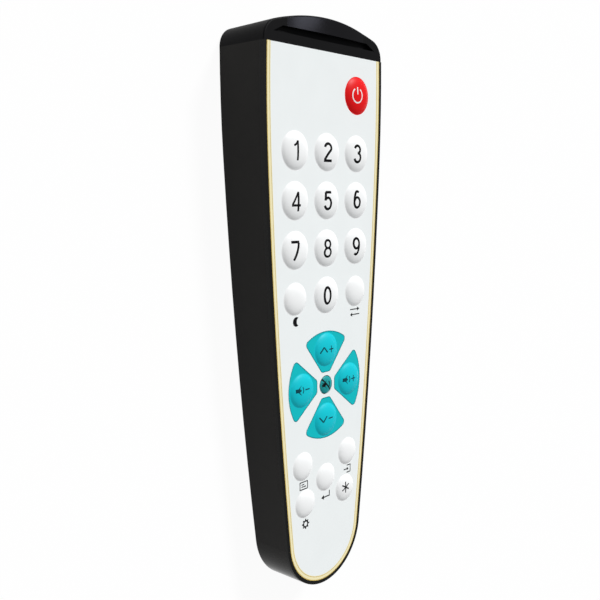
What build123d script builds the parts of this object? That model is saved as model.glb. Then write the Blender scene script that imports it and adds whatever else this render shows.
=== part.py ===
from build123d import *
import os
from math import atan2, cos, degrees, radians, sin, sqrt

# A hand-held infrared remote control with a sealed, wipe-clean face of domed keys.
# Its back lies on the XY plane, +Y runs towards the infrared end and +Z out of the keys.
# Lengths are in millimetres and angles in degrees.

# Casing: a tapering slab round the key field, deeper at the infrared end
side_margin = 9.0
tail_margin = 36.8
depth_bottom = 17.6
board_headroom = 1.05
lean_angle = 6.48
shoulder_angle = 2.2
flank_radius = 2055.0
shoulder_radius = 581.0
crown_radius = 100.0
crown_spread = 28.0
corner_radius = 7.6
wall = 2.2
floor_thickness = 2.4
back_edge_radius = 0.5
bezel_top = 2.3
bezel_bottom = 1.2
lip_thickness = 1.2
lip_depth = 1.6
fit_clearance = 0.1

# Face: rim, printed border and film, all flush in the front shell
rim_width = 1.5
border_width = 1.9
film_thickness = 0.5
plate_thickness = 1.8

# Infrared end cap and its window
cap_length = 12.0
cap_lip_length = 4.0
cap_edge_radius = 0.6
groove_start = 3.6
groove_width = 2.4
groove_depth = 1.6
groove_length = 58.0
groove_taper = 5.0
window_width = 44.0
window_depth = 9.6
window_bulge = 0.8

# Keys: places are measured from the first row of numbers, which hangs from the top end
first_row_drop = 49.5
column_pitch = 18.0
row_pitch = 18.4
power_rise = 22.7
nav_drop = 91.2
nav_ring = 14.2
upper_pair_spread = 27.2
upper_pair_drop = 121.7
enter_drop = 129.4
lower_pair_spread = 24.4
lower_pair_drop = 137.2
number_diameter = 14.2
side_key_diameter = 12.2
nav_diameter = 13.2
mute_diameter = 7.0
small_diameter = 11.1
dome_rise_share = 0.21
dome_flat_share = 0.6
dome_rim_share = 0.86
key_clearance = 0.3
key_travel = 0.8
flange_overhang = 1.0
flange_thickness = 1.0
plunger_diameter = 3.6
plunger_gap = 0.1

# Direction pads printed around the mute key
pad_reach = 21.7
pad_angle = 35.0
pad_tip_reach = 5.1
pad_tip_width = 5.0
pad_corner_radius = 1.7

# Contact mat and circuit board under the keys
mat_thickness = 0.8
mat_gap = 0.2
mat_inset = 5.4
mat_hole_clearance = 0.5
board_thickness = 1.2
board_inset = 4.2
board_end_setback = 0.8
board_tail_setback = 22.0
tower_clearance = 0.4

# Screw towers and screws
tower_diameter = 6.2
spigot_diameter = 4.4
tower_web = 4.0
well_diameter = 5.2
shank_diameter = 2.2
shank_length = 8.8
head_diameter = 4.4
head_height = 1.6
thread_clearance = 0.05
shank_clearance = 0.2
tower_margin = 0.7

# Battery bay: two AAA cells side by side under a swinging door
cell_diameter = 10.5
cell_length = 44.5
nub_diameter = 3.8
nub_height = 1.0
cell_gap = 1.0
cell_clearance = 0.3
bay_wall = 2.0
bay_roof = 1.2
bay_top_drop = 22.3
contact_thickness = 0.4
contact_height = 7.2
contact_width = 8.0
contact_tab_width = 2.0
spring_length = 5.0
spring_diameter = 6.0
spring_wire = 0.7
spring_turns = 3

# Battery door, swinging on two trunnions at its upper end
door_thickness = 2.0
door_clearance = 0.3
door_ledge = 1.4
hinge_radius = 1.2
trunnion_diameter = 1.4
trunnion_length = 1.6
trunnion_clearance = 0.05
latch_width = 9.0
latch_thickness = 1.0
latch_height = 2.6
latch_clearance = 0.3
finger_slot_width = 0.8
finger_length = 8.0
scoop_radius = 7.0
scoop_depth = 1.1
grip_width = 14.0
grip_pitch = 1.8
grip_depth = 0.4
grip_count = 5

# Parts on the circuit board
chip_width = 7.5
chip_length = 17.9
chip_height = 2.3
chip_standoff = 0.2
chip_drop = 91.0
lead_count = 12
lead_pitch = 1.27
lead_width = 0.5
lead_reach = 1.5
crystal_length = 11.0
crystal_width = 4.6
crystal_height = 3.6
crystal_drop = 74.0
capacitor_diameter = 6.3
capacitor_height = 7.0
capacitor_offset = 12.0
capacitor_drop = 118.0
led_diameter = 5.0
led_flange_diameter = 5.8
led_flange_height = 1.0
led_length = 8.0
led_spread = 18.0
led_gap = 0.6
led_lead = 0.5
led_lead_pitch = 2.54
led_lead_overlap = 4.0


def sloping_plane(bottom_height, top_height):
    """Plane across the casing, at one height above each end of it."""
    slope = atan2(top_height - bottom_height, length)
    middle = (bottom_height + top_height) / 2
    return Plane(origin=(0, 0, middle), x_dir=(1, 0, 0), z_dir=(0, -sin(slope), cos(slope)))


def casing_plan(inset, low, high):
    """The casing's outline moved in by inset, between two places along its length.

    Round tail, two gentle flank arcs a side and a shallow crown with rounded corners.
    """
    with BuildSketch() as region:
        with BuildLine():
            tail = JernArc((0, tail_end + inset), (1, 0), tail_radius - inset, 90 - lean_angle)
            flank = JernArc(tail @ 1, tail % 1, flank_radius - inset, lean_angle - shoulder_angle)
            shoulder = JernArc(flank @ 1, flank % 1, shoulder_radius - inset, shoulder_sweep)
            Line(shoulder @ 1, (0, (shoulder @ 1).Y))
            mirror(about=Plane.YZ)
        make_face()
        with BuildLine():
            crown_centre = (0, top_end - crown_radius)
            crown = CenterArc(crown_centre, crown_radius - inset, 90 - crown_spread, 2 * crown_spread)
            Polyline(crown @ 1, ((crown @ 1).X, top_end + length), ((crown @ 0).X, top_end + length), crown @ 0)
        make_face(mode=Mode.SUBTRACT)
        fillet(region.vertices().group_by(Axis.Y)[-1], corner_radius - inset)
        with Locations((0, low)):
            Rectangle(2 * width, high - low, align=(Align.CENTER, Align.MIN), mode=Mode.INTERSECT)
    return region.sketch


def half_width(y):
    """Distance from the middle of the casing to its side, between the tail and the crown."""
    if y < shoulder_y:
        return flank_x - flank_radius + sqrt(flank_radius**2 - (y - flank_y) ** 2)
    return shoulder_x - shoulder_radius + sqrt(shoulder_radius**2 - (y - shoulder_middle_y) ** 2)


def deck_height(y):
    """Height of the face above the back at a place along the casing."""
    return depth_bottom + (depth_top - depth_bottom) * (y - tail_end) / length


def deck_section(x, y):
    """Plane square to the deck through a place on it, with its own y out of the face."""
    return Plane(origin=deck.from_local_coords((x, y, 0)), x_dir=deck.x_dir, z_dir=-deck.y_dir)


def save(piece, name):
    """Label a finished piece and write its STEP file."""
    piece.part.label = name
    export_step(piece.part, f"parts/{name}.step")


os.makedirs("parts", exist_ok=True)

# The key field sets the length and the width
length = first_row_drop + lower_pair_drop + tail_margin
width = 2 * column_pitch + number_diameter + 2 * side_margin
top_end = length / 2
tail_end = -length / 2
cap_line = top_end - cap_length
row_one = top_end - first_row_drop
nav_y = row_one - nav_drop

# Heights below the face, measured square to it
plate_bottom = film_thickness + plate_thickness
flange_bottom = plate_bottom + flange_thickness
mat_top = flange_bottom + key_travel + mat_gap
board_top = mat_top + mat_thickness
board_bottom = board_top + board_thickness
plunger_bottom = board_top - key_travel - plunger_gap
screw_seat = board_bottom + tower_web

# Battery bay places
bay_top = top_end - bay_top_drop
bay_length = cell_length + spring_length + 2 * contact_thickness
bay_bottom = bay_top - bay_length
bay_middle = (bay_top + bay_bottom) / 2
cell_x = (cell_diameter + cell_gap) / 2
cell_z = door_thickness + cell_clearance + cell_diameter / 2
channel_radius = cell_diameter / 2 + cell_clearance
bay_width = 2 * (cell_x + channel_radius)
bay_height = cell_z + channel_radius
door_top = bay_top + door_ledge
door_bottom = bay_bottom - door_ledge
door_width = bay_width + 2 * door_ledge
hinge_y = door_top - hinge_radius
latch_y = door_bottom + fit_clearance + latch_thickness / 2
bridge_width = 2 * cell_x + contact_width

# The depth rises so that the board clears the bay's roof at its lower end
bay_depth = bay_height + bay_roof + board_headroom + board_bottom
depth_top = depth_bottom + (bay_depth - depth_bottom) * length / (bay_bottom - tail_end)
deck = sloping_plane(depth_bottom, depth_top)
seam = sloping_plane(depth_bottom - bezel_bottom, depth_top - bezel_top)
cap_plane = Plane(origin=deck.from_local_coords((0, cap_line, 0)), x_dir=(-1, 0, 0), z_dir=deck.y_dir)

# The tail's radius follows from the width and the flank arcs
tail_radius = (
    width / 2
    - shoulder_radius * (1 - cos(radians(shoulder_angle)))
    - flank_radius * (cos(radians(shoulder_angle)) - cos(radians(lean_angle)))
) / cos(radians(lean_angle))
shoulder_sweep = degrees(length / 2 / shoulder_radius)

# Middles of the flank and shoulder arcs, and where each is widest
flank_y = tail_end + tail_radius * (1 - sin(radians(lean_angle))) + flank_radius * sin(radians(lean_angle))
flank_x = width / 2 + (flank_radius - shoulder_radius) * (1 - cos(radians(shoulder_angle)))
shoulder_y = flank_y - flank_radius * sin(radians(shoulder_angle))
shoulder_middle_y = shoulder_y + shoulder_radius * sin(radians(shoulder_angle))
shoulder_x = width / 2

# Key places and radii
keys = {
    "key_power": (column_pitch, row_one + power_rise, number_diameter / 2),
    "key_sleep": (-column_pitch, row_one - 3 * row_pitch, side_key_diameter / 2),
    "key_0": (0, row_one - 3 * row_pitch, number_diameter / 2),
    "key_previous": (column_pitch, row_one - 3 * row_pitch, side_key_diameter / 2),
    "key_channel_up": (0, nav_y + nav_ring, nav_diameter / 2),
    "key_volume_up": (nav_ring, nav_y, nav_diameter / 2),
    "key_channel_down": (0, nav_y - nav_ring, nav_diameter / 2),
    "key_volume_down": (-nav_ring, nav_y, nav_diameter / 2),
    "key_mute": (0, nav_y, mute_diameter / 2),
    "key_caption": (-upper_pair_spread / 2, row_one - upper_pair_drop, small_diameter / 2),
    "key_source": (upper_pair_spread / 2, row_one - upper_pair_drop, small_diameter / 2),
    "key_enter": (0, row_one - enter_drop, small_diameter / 2),
    "key_setup": (-lower_pair_spread / 2, row_one - lower_pair_drop, small_diameter / 2),
    "key_star": (lower_pair_spread / 2, row_one - lower_pair_drop, small_diameter / 2),
}
for number in range(1, 10):
    row, column = divmod(number - 1, 3)
    keys[f"key_{number}"] = ((column - 1) * column_pitch, row_one - row * row_pitch, number_diameter / 2)

# Screw towers stand between the groups of keys, against the side walls and in the tail
tower_rows = (
    row_one + power_rise / 2,
    row_one - (3 * row_pitch + nav_drop) / 2,
    row_one - (nav_drop + nav_ring + upper_pair_drop) / 2,
)
towers = [(0, tail_end + tail_margin / 2)]
for tower_y in tower_rows:
    tower_x = half_width(tower_y) - wall - tower_diameter / 2 - tower_margin
    towers.append((tower_x, tower_y))
    towers.append((-tower_x, tower_y))

# Plans cut from the one outline
outer_plan = casing_plan(0, tail_end - wall, top_end + wall)
cavity_plan = casing_plan(wall, tail_end, top_end)
lip_plan = casing_plan(wall + fit_clearance, tail_end, cap_line)
hollow_plan = casing_plan(wall + fit_clearance + lip_thickness, tail_end, cap_line)
recess_plan = casing_plan(rim_width, tail_end, cap_line)
film_plan = casing_plan(rim_width + border_width, tail_end, cap_line)
board_plan = casing_plan(board_inset, tail_end + board_tail_setback, cap_line - board_end_setback)
mat_plan = casing_plan(mat_inset, tail_end + board_tail_setback, cap_line - cap_lip_length)
cap_cavity_plan = casing_plan(wall, cap_line - wall, top_end)

# One direction pad, pointing along +X from the middle of the mute key
with BuildSketch() as pad:
    with BuildLine():
        pad_arc = CenterArc((0, 0), pad_reach, -pad_angle, 2 * pad_angle)
        tip_low = (pad_tip_reach, -pad_tip_width / 2)
        tip_high = (pad_tip_reach, pad_tip_width / 2)
        Polyline(pad_arc @ 1, tip_high, tip_low, pad_arc @ 0)
    make_face()
    fillet(pad.vertices(), pad_corner_radius)

with BuildSketch() as pads:
    with Locations((0, nav_y)):
        with PolarLocations(0, 4):
            add(pad.sketch)

with BuildSketch() as key_holes:
    for x, y, radius in keys.values():
        with Locations((x, y)):
            Circle(radius + key_clearance)

# Rear shell: open tray with the battery bay, screw towers and door seat
with BuildPart() as rear_shell:
    with BuildSketch():
        add(outer_plan)
    extrude(amount=depth_top)
    split(bisect_by=seam, keep=Keep.BOTTOM)
    split(bisect_by=cap_plane, keep=Keep.BOTTOM)
    back_rim = rear_shell.faces().sort_by(Axis.Z)[0].edges()
    fillet(back_rim.filter_by(Axis.X, reverse=True), back_edge_radius)
    with BuildSketch(Plane.XY.offset(floor_thickness)):
        add(cavity_plan)
    extrude(amount=depth_top, mode=Mode.SUBTRACT)
    with BuildSketch(deck.offset(-board_bottom)):
        with Locations(*towers):
            Circle(tower_diameter / 2)
    extrude(amount=-depth_top)
    split(bisect_by=Plane.XY, keep=Keep.TOP)
    with BuildSketch(deck.offset(-screw_seat)):
        with Locations(*towers):
            Circle(well_diameter / 2)
    extrude(amount=-depth_top, mode=Mode.SUBTRACT)
    with BuildSketch(deck.offset(-screw_seat)):
        with Locations(*towers):
            Circle(shank_diameter / 2 + shank_clearance)
    extrude(amount=tower_web, mode=Mode.SUBTRACT)
    with BuildSketch():
        with Locations((0, bay_middle)):
            Rectangle(bay_width + 2 * bay_wall, bay_length + 2 * bay_wall)
    extrude(amount=bay_height + bay_roof)
    with BuildSketch(Plane.XZ.offset(-bay_top)):
        with Locations((-cell_x, cell_z), (cell_x, cell_z)):
            Circle(channel_radius)
        Rectangle(bay_width, cell_z, align=(Align.CENTER, Align.MIN))
    extrude(amount=bay_length, mode=Mode.SUBTRACT)
    with BuildSketch():
        with Locations((0, (door_top + door_bottom) / 2)):
            Rectangle(door_width + 2 * door_clearance, door_top - door_bottom + 2 * door_clearance)
    extrude(amount=door_thickness, mode=Mode.SUBTRACT)
    with BuildSketch():
        with Locations((0, door_top + door_clearance)):
            Rectangle(
                door_width + 2 * door_clearance,
                2 * hinge_radius + 2 * door_clearance,
                align=(Align.CENTER, Align.MAX),
            )
    extrude(amount=2 * hinge_radius + door_clearance, mode=Mode.SUBTRACT)
    with BuildSketch(Plane.YZ):
        with Locations((hinge_y, hinge_radius)):
            Circle(trunnion_diameter / 2 + trunnion_clearance)
    extrude(amount=door_width / 2 + trunnion_length + door_clearance, both=True, mode=Mode.SUBTRACT)
    with BuildSketch():
        with Locations((0, latch_y)):
            Rectangle(latch_width + 2 * latch_clearance, latch_thickness + 2 * latch_clearance)
    extrude(amount=door_thickness + latch_height + latch_clearance, mode=Mode.SUBTRACT)
    with BuildSketch():
        with Locations((0, door_bottom)):
            Circle(scoop_radius)
            Rectangle(2 * scoop_radius, scoop_radius, align=(Align.CENTER, Align.MIN), mode=Mode.SUBTRACT)
    extrude(amount=scoop_depth, mode=Mode.SUBTRACT)
    with BuildSketch(Plane.XY.offset(door_thickness)):
        with Locations((0, bay_bottom)):
            Rectangle(
                bridge_width + 2 * fit_clearance,
                contact_thickness + fit_clearance,
                align=(Align.CENTER, Align.MIN),
            )
    extrude(amount=cell_z + contact_height / 2 + fit_clearance - door_thickness, mode=Mode.SUBTRACT)
    with BuildSketch(Plane.XY.offset(cell_z)):
        with Locations((-cell_x, bay_top), (cell_x, bay_top)):
            Rectangle(
                contact_tab_width + 2 * cell_clearance,
                contact_thickness + cell_clearance,
                align=(Align.CENTER, Align.MAX),
            )
    extrude(amount=bay_height + bay_roof - cell_z, mode=Mode.SUBTRACT)
save(rear_shell, "rear_shell")

# Front shell: bezel, key plate with its holes, locating lip and screw spigots
with BuildPart() as front_shell:
    with BuildSketch():
        add(outer_plan)
    extrude(amount=depth_top)
    split(bisect_by=seam, keep=Keep.TOP)
    split(bisect_by=cap_plane, keep=Keep.BOTTOM)
    with BuildSketch(deck.offset(-plate_bottom - lip_depth)):
        add(lip_plan)
    extrude(amount=plate_bottom + lip_depth)
    split(bisect_by=deck, keep=Keep.BOTTOM)
    with BuildSketch(deck.offset(-plate_bottom)):
        add(hollow_plan)
    extrude(amount=-depth_top, mode=Mode.SUBTRACT)
    with BuildSketch(deck.offset(-plate_bottom)):
        with Locations((0, cap_line)):
            Rectangle(width, cap_lip_length + fit_clearance, align=(Align.CENTER, Align.MAX))
    extrude(amount=-depth_top, mode=Mode.SUBTRACT)
    with BuildSketch(deck):
        add(recess_plan)
    extrude(amount=-film_thickness, mode=Mode.SUBTRACT)
    with BuildSketch(deck.offset(-plate_bottom)):
        with Locations(*towers):
            Circle(tower_diameter / 2)
    extrude(amount=plate_bottom - board_top)
    with BuildSketch(deck.offset(-plate_bottom)):
        with Locations(*towers):
            Circle(spigot_diameter / 2)
    extrude(amount=plate_bottom + fit_clearance - board_bottom)
    with BuildSketch(deck.offset(-screw_seat)):
        with Locations(*towers):
            Circle(shank_diameter / 2 + thread_clearance)
    extrude(amount=shank_length + fit_clearance, mode=Mode.SUBTRACT)
    with BuildSketch(deck):
        add(key_holes.sketch)
    extrude(amount=-plate_bottom, mode=Mode.SUBTRACT)
save(front_shell, "front_shell")

# White face film, cut out for the keys and the printed pads
with BuildPart() as face_film:
    with BuildSketch(deck):
        add(film_plan)
        add(key_holes.sketch, mode=Mode.SUBTRACT)
        add(pads.sketch, mode=Mode.SUBTRACT)
    extrude(amount=-film_thickness)
save(face_film, "face_film")

# Border stripe between the rim and the film, open at the cap
with BuildPart() as edge_border:
    with BuildSketch(deck):
        add(recess_plan)
        add(film_plan, mode=Mode.SUBTRACT)
    extrude(amount=-film_thickness)
save(edge_border, "edge_border")

# Direction pads, each holed for its key
with BuildPart() as nav_pads:
    with BuildSketch(deck):
        add(pads.sketch)
        add(key_holes.sketch, mode=Mode.SUBTRACT)
    extrude(amount=-film_thickness)
save(nav_pads, "nav_pads")


def make_key(name, x, y, radius):
    """Domed key, its flange held under the plate and its plunger over the board."""
    flange_radius = radius + key_clearance + flange_overhang
    with BuildPart() as key:
        with BuildSketch(deck_section(x, y)):
            with BuildLine():
                rise = dome_rise_share * radius
                dome = Bezier(
                    (0, rise),
                    (dome_flat_share * radius, rise),
                    (dome_rim_share * radius, rise / 2),
                    (radius, 0),
                )
                Polyline(
                    dome @ 1,
                    (radius, -plate_bottom),
                    (flange_radius, -plate_bottom),
                    (flange_radius, -flange_bottom),
                    (plunger_diameter / 2, -flange_bottom),
                    (plunger_diameter / 2, -plunger_bottom),
                    (0, -plunger_bottom),
                    dome @ 0,
                )
            make_face()
        revolve(axis=Axis(deck.from_local_coords((x, y, 0)), deck.z_dir))
    save(key, name)


for name, (x, y, radius) in keys.items():
    make_key(name, x, y, radius)

# Circuit board, notched or holed where the screw towers pass
with BuildPart() as circuit_board:
    with BuildSketch(deck.offset(-board_top)):
        add(board_plan)
        with Locations(*towers):
            Circle(spigot_diameter / 2 + tower_clearance, mode=Mode.SUBTRACT)
    extrude(amount=-board_thickness)
save(circuit_board, "circuit_board")

# Contact mat on the board, with a well round each plunger
with BuildPart() as contact_mat:
    with BuildSketch(deck.offset(-board_top)):
        add(mat_plan)
        with Locations(*towers):
            Circle(tower_diameter / 2 + tower_clearance, mode=Mode.SUBTRACT)
        for x, y, radius in keys.values():
            with Locations((x, y)):
                Circle(plunger_diameter / 2 + mat_hole_clearance, mode=Mode.SUBTRACT)
    extrude(amount=mat_thickness)
save(contact_mat, "contact_mat")

# End cap over the infrared emitters, with cheeks that plug into the casing
cap_depth = deck_height(cap_line) - plate_bottom - floor_thickness
groove_low = cap_line + groove_start
groove_high = groove_low + groove_width
groove_floor = deck_height(groove_low) - groove_depth
window_floor = deck_height(groove_high) - window_depth
with BuildSketch() as window_plan:
    add(outer_plan)
    with Locations((0, groove_high)):
        Rectangle(window_width, cap_length, align=(Align.CENTER, Align.MIN), mode=Mode.INTERSECT)
cheek_low = cap_line - cap_lip_length
cheek_high = cap_line + cap_lip_length
with BuildSketch() as cheek_plan:
    add(casing_plan(wall + fit_clearance, cheek_low, cap_line))
    add(casing_plan(wall, cap_line, cheek_high))
    add(casing_plan(wall + fit_clearance + lip_thickness, cheek_low, cheek_high), mode=Mode.SUBTRACT)

with BuildPart() as end_cap:
    with BuildSketch():
        add(outer_plan)
    extrude(amount=depth_top + wall)
    split(bisect_by=deck, keep=Keep.BOTTOM)
    split(bisect_by=cap_plane, keep=Keep.TOP)
    back_rim = end_cap.faces().sort_by(Axis.Z)[0].edges()
    fillet(back_rim.filter_by(Axis.X, reverse=True), back_edge_radius)
    front_rim = end_cap.faces().sort_by(Axis.Z)[-1].edges()
    fillet(front_rim.filter_by(Axis.X, reverse=True), cap_edge_radius)
    with BuildSketch(deck.offset(-plate_bottom)):
        add(cap_cavity_plan)
    extrude(amount=-cap_depth, mode=Mode.SUBTRACT)
    with BuildSketch(deck.offset(-plate_bottom - fit_clearance)):
        add(cheek_plan.sketch)
    extrude(amount=2 * fit_clearance - cap_depth)
    with BuildSketch(Plane.XY.offset(groove_floor)):
        with BuildLine():
            Polyline(
                (-groove_length / 2, groove_low),
                (groove_length / 2, groove_low),
                (groove_length / 2 - groove_taper, groove_high),
                (groove_taper - groove_length / 2, groove_high),
                close=True,
            )
        make_face()
    extrude(amount=2 * groove_depth, mode=Mode.SUBTRACT)
    with BuildSketch(Plane.XY.offset(window_floor)):
        add(window_plan.sketch)
    extrude(amount=depth_top, mode=Mode.SUBTRACT)
save(end_cap, "end_cap")

# Glossy window with a gently arched top, wrapping from the groove over the front edge of the cap
with BuildPart() as ir_window:
    with BuildSketch(Plane.XY.offset(window_floor)):
        add(window_plan.sketch)
    extrude(amount=depth_top)
    with BuildSketch(deck_section(0, cap_line)):
        with BuildLine():
            arch = ThreePointArc((-window_width / 2, 0), (0, window_bulge), (window_width / 2, 0))
            Polyline(arch @ 1, (window_width / 2, -depth_top), (-window_width / 2, -depth_top), arch @ 0)
        make_face()
    extrude(amount=-cap_length - wall, mode=Mode.INTERSECT)
    front_edge = ir_window.faces().sort_by(Axis.Z)[-1].edges().sort_by(Axis.Y)[-1]
    fillet(front_edge, cap_edge_radius)
    with BuildSketch(deck.offset(-plate_bottom)):
        add(cap_cavity_plan)
    extrude(amount=-cap_depth, mode=Mode.SUBTRACT)
save(ir_window, "ir_window")


def make_emitter(name, x):
    """Infrared emitter lying along the board's upper edge, its leads under the board."""
    back = cap_line - board_end_setback + led_gap
    centre = deck.from_local_coords((x, back, -board_bottom - led_lead / 2))
    with BuildPart() as emitter:
        with BuildSketch(Plane(origin=centre, x_dir=deck.x_dir, z_dir=deck.z_dir)):
            with BuildLine():
                shoulder_y = led_length - led_diameter / 2
                nose = CenterArc((0, shoulder_y), led_diameter / 2, 0, 90)
                Polyline(
                    nose @ 0,
                    (led_diameter / 2, led_flange_height),
                    (led_flange_diameter / 2, led_flange_height),
                    (led_flange_diameter / 2, 0),
                    (0, 0),
                    nose @ 1,
                )
            make_face()
        revolve(axis=Axis(centre, deck.y_dir))
        with BuildSketch(deck.offset(-board_bottom)):
            with Locations((x - led_lead_pitch / 2, back), (x + led_lead_pitch / 2, back)):
                Rectangle(led_lead, led_gap + led_lead_overlap, align=(Align.CENTER, Align.MAX))
        extrude(amount=-led_lead)
    save(emitter, name)


make_emitter("ir_emitter_left", -led_spread / 2)
make_emitter("ir_emitter_right", led_spread / 2)


def make_cell(name, x, nub_y, direction):
    """AAA cell from the tip of its nub, running along Y in one direction."""
    nub_plane = Plane(origin=(x, nub_y, cell_z), z_dir=(0, direction, 0))
    with BuildPart() as cell:
        with BuildSketch(nub_plane):
            Circle(nub_diameter / 2)
        extrude(amount=nub_height)
        with BuildSketch(nub_plane.offset(nub_height)):
            Circle(cell_diameter / 2)
        extrude(amount=cell_length - nub_height)
        fillet(cell.edges().filter_by(GeomType.CIRCLE).group_by(SortBy.RADIUS)[-1], contact_thickness)
    save(cell, name)


make_cell("battery_right", cell_x, bay_top - contact_thickness, -1)
make_cell("battery_left", -cell_x, bay_bottom + contact_thickness, 1)


def make_contact(name, end_y, direction, plate_x, plate_width, spring_x=None, tab_x=None):
    """Contact plate on one end wall of the bay, with a coil spring or a board tab if it has one."""
    face_y = end_y + direction * contact_thickness
    with BuildPart() as contact:
        with BuildSketch(Plane(origin=(plate_x, end_y, cell_z), x_dir=(1, 0, 0), z_dir=(0, direction, 0))):
            Rectangle(plate_width, contact_height)
        extrude(amount=contact_thickness)
        if tab_x is not None:
            tab_top = deck_height(face_y) - board_bottom - fit_clearance
            with BuildSketch(Plane.XY.offset(cell_z)):
                with Locations((tab_x, (end_y + face_y) / 2)):
                    Rectangle(contact_tab_width, contact_thickness)
            extrude(amount=tab_top - cell_z)
        if spring_x is not None:
            coil_length = spring_length - fit_clearance - spring_wire / 2
            with BuildLine() as coil:
                Helix(
                    coil_length / spring_turns,
                    coil_length,
                    spring_diameter / 2,
                    center=(spring_x, face_y, cell_z),
                    direction=(0, direction, 0),
                )
            with BuildSketch(Plane(origin=coil.line @ 0, z_dir=coil.line % 0)):
                Circle(spring_wire / 2)
            sweep(path=coil.line, is_frenet=True)
    save(contact, name)


make_contact("bridge_contact", bay_bottom, 1, 0, bridge_width, spring_x=cell_x)
make_contact("positive_contact", bay_top, -1, cell_x, contact_width, tab_x=cell_x)
make_contact("negative_contact", bay_top, -1, -cell_x, contact_width, spring_x=-cell_x, tab_x=-cell_x)

# Battery door: flat plate with a rolled hinge end, trunnions, latch finger and grip
with BuildPart() as battery_door:
    with BuildSketch():
        with Locations((0, door_bottom)):
            Rectangle(door_width, hinge_y - door_bottom, align=(Align.CENTER, Align.MIN))
    extrude(amount=door_thickness)
    with BuildSketch(Plane.YZ):
        with Locations((hinge_y, hinge_radius)):
            Circle(hinge_radius)
    extrude(amount=door_width / 2, both=True)
    with BuildSketch(Plane.YZ):
        with Locations((hinge_y, hinge_radius)):
            Circle(trunnion_diameter / 2)
    extrude(amount=door_width / 2 + trunnion_length, both=True)
    with BuildSketch():
        with Locations((0, latch_y)):
            Rectangle(latch_width, latch_thickness)
    extrude(amount=door_thickness + latch_height)
    slot_x = (latch_width + finger_slot_width) / 2 + fit_clearance
    with BuildSketch():
        with Locations((-slot_x, door_bottom), (slot_x, door_bottom)):
            Rectangle(finger_slot_width, finger_length, align=(Align.CENTER, Align.MIN))
    extrude(amount=door_thickness, mode=Mode.SUBTRACT)
    with BuildSketch():
        with Locations((0, door_bottom + finger_length + grip_count * grip_pitch)):
            with GridLocations(0, grip_pitch, 1, grip_count):
                Rectangle(grip_width, grip_pitch / 2)
    extrude(amount=grip_depth, mode=Mode.SUBTRACT)
save(battery_door, "battery_door")

# Screws, driven from the back into the front shell's spigots
with BuildPart() as housing_screws:
    with BuildSketch(deck.offset(-screw_seat)):
        with Locations(*towers):
            Circle(head_diameter / 2)
    extrude(amount=-head_height)
    with BuildSketch(deck.offset(-screw_seat)):
        with Locations(*towers):
            Circle(shank_diameter / 2)
    extrude(amount=shank_length)
    with BuildSketch(deck.offset(-screw_seat - head_height)):
        with Locations(*towers):
            Rectangle(head_diameter / 2, head_diameter / 8)
            Rectangle(head_diameter / 8, head_diameter / 2)
    extrude(amount=head_height / 2, mode=Mode.SUBTRACT)
save(housing_screws, "housing_screws")

# Controller chip under the board, with its two rows of leads
with BuildPart() as controller_chip:
    chip_y = row_one - chip_drop
    with BuildSketch(deck.offset(-board_bottom - chip_standoff)):
        with Locations((0, chip_y)):
            Rectangle(chip_width, chip_length)
    extrude(amount=-chip_height)
    with BuildSketch(deck.offset(-board_bottom)):
        with Locations((0, chip_y)):
            with GridLocations(chip_width + lead_reach, lead_pitch, 2, lead_count):
                Rectangle(lead_reach + chip_standoff, lead_width)
    extrude(amount=-2 * chip_standoff)
save(controller_chip, "controller_chip")

# Crystal can and supply capacitor under the board
with BuildPart() as crystal:
    with BuildSketch(deck.offset(-board_bottom)):
        with Locations((0, row_one - crystal_drop)):
            SlotOverall(crystal_length, crystal_width)
    extrude(amount=-crystal_height)
save(crystal, "crystal")

with BuildPart() as capacitor:
    with BuildSketch(deck.offset(-board_bottom)):
        with Locations((capacitor_offset, row_one - capacitor_drop)):
            Circle(capacitor_diameter / 2)
    extrude(amount=-capacitor_height)
save(capacitor, "capacitor")
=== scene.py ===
from math import atan2, cos, hypot, pi, radians, sin

import bpy
from mathutils import Matrix, Vector


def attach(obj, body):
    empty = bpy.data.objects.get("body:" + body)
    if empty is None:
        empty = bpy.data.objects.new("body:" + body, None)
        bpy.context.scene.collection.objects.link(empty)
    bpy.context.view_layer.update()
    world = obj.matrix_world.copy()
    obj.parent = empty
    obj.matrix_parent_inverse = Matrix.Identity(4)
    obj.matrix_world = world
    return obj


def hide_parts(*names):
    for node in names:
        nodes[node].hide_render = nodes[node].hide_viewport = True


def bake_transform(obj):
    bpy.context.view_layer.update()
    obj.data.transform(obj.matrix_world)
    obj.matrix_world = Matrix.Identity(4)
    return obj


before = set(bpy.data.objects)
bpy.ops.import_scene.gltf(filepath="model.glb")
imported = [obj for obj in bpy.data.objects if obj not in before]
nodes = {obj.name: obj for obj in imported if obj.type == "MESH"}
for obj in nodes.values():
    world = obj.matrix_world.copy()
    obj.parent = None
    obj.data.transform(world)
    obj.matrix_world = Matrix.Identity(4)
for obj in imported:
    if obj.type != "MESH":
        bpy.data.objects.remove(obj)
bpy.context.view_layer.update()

# Sizes are in millimetres and angles in degrees, unless a comment says otherwise. Places on the
# face are x across, y along and h above it, from the middle of the casing
MM = 0.001

# Casing, as in the CAD source
LENGTH, WIDTH = 223.5, 68.2
DEPTH_TOP, DEPTH_BOTTOM = 23.5985, 17.6
LEAN, SHOULDER_ANGLE, SHOULDER_SWEEP = 6.48, 2.2, 11.0
FLANK_RADIUS, SHOULDER_RADIUS = 2055.0, 581.0
RIM, BORDER = 1.5, 1.9
CAP_LINE = 99.75
SLOPE = atan2(DEPTH_TOP - DEPTH_BOTTOM, LENGTH)  # of the face, in radians
MIDDLE = (DEPTH_TOP + DEPTH_BOTTOM) / 2
TAIL_STEPS, FLANK_STEPS, SHOULDER_STEPS = 48, 40, 40

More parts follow.
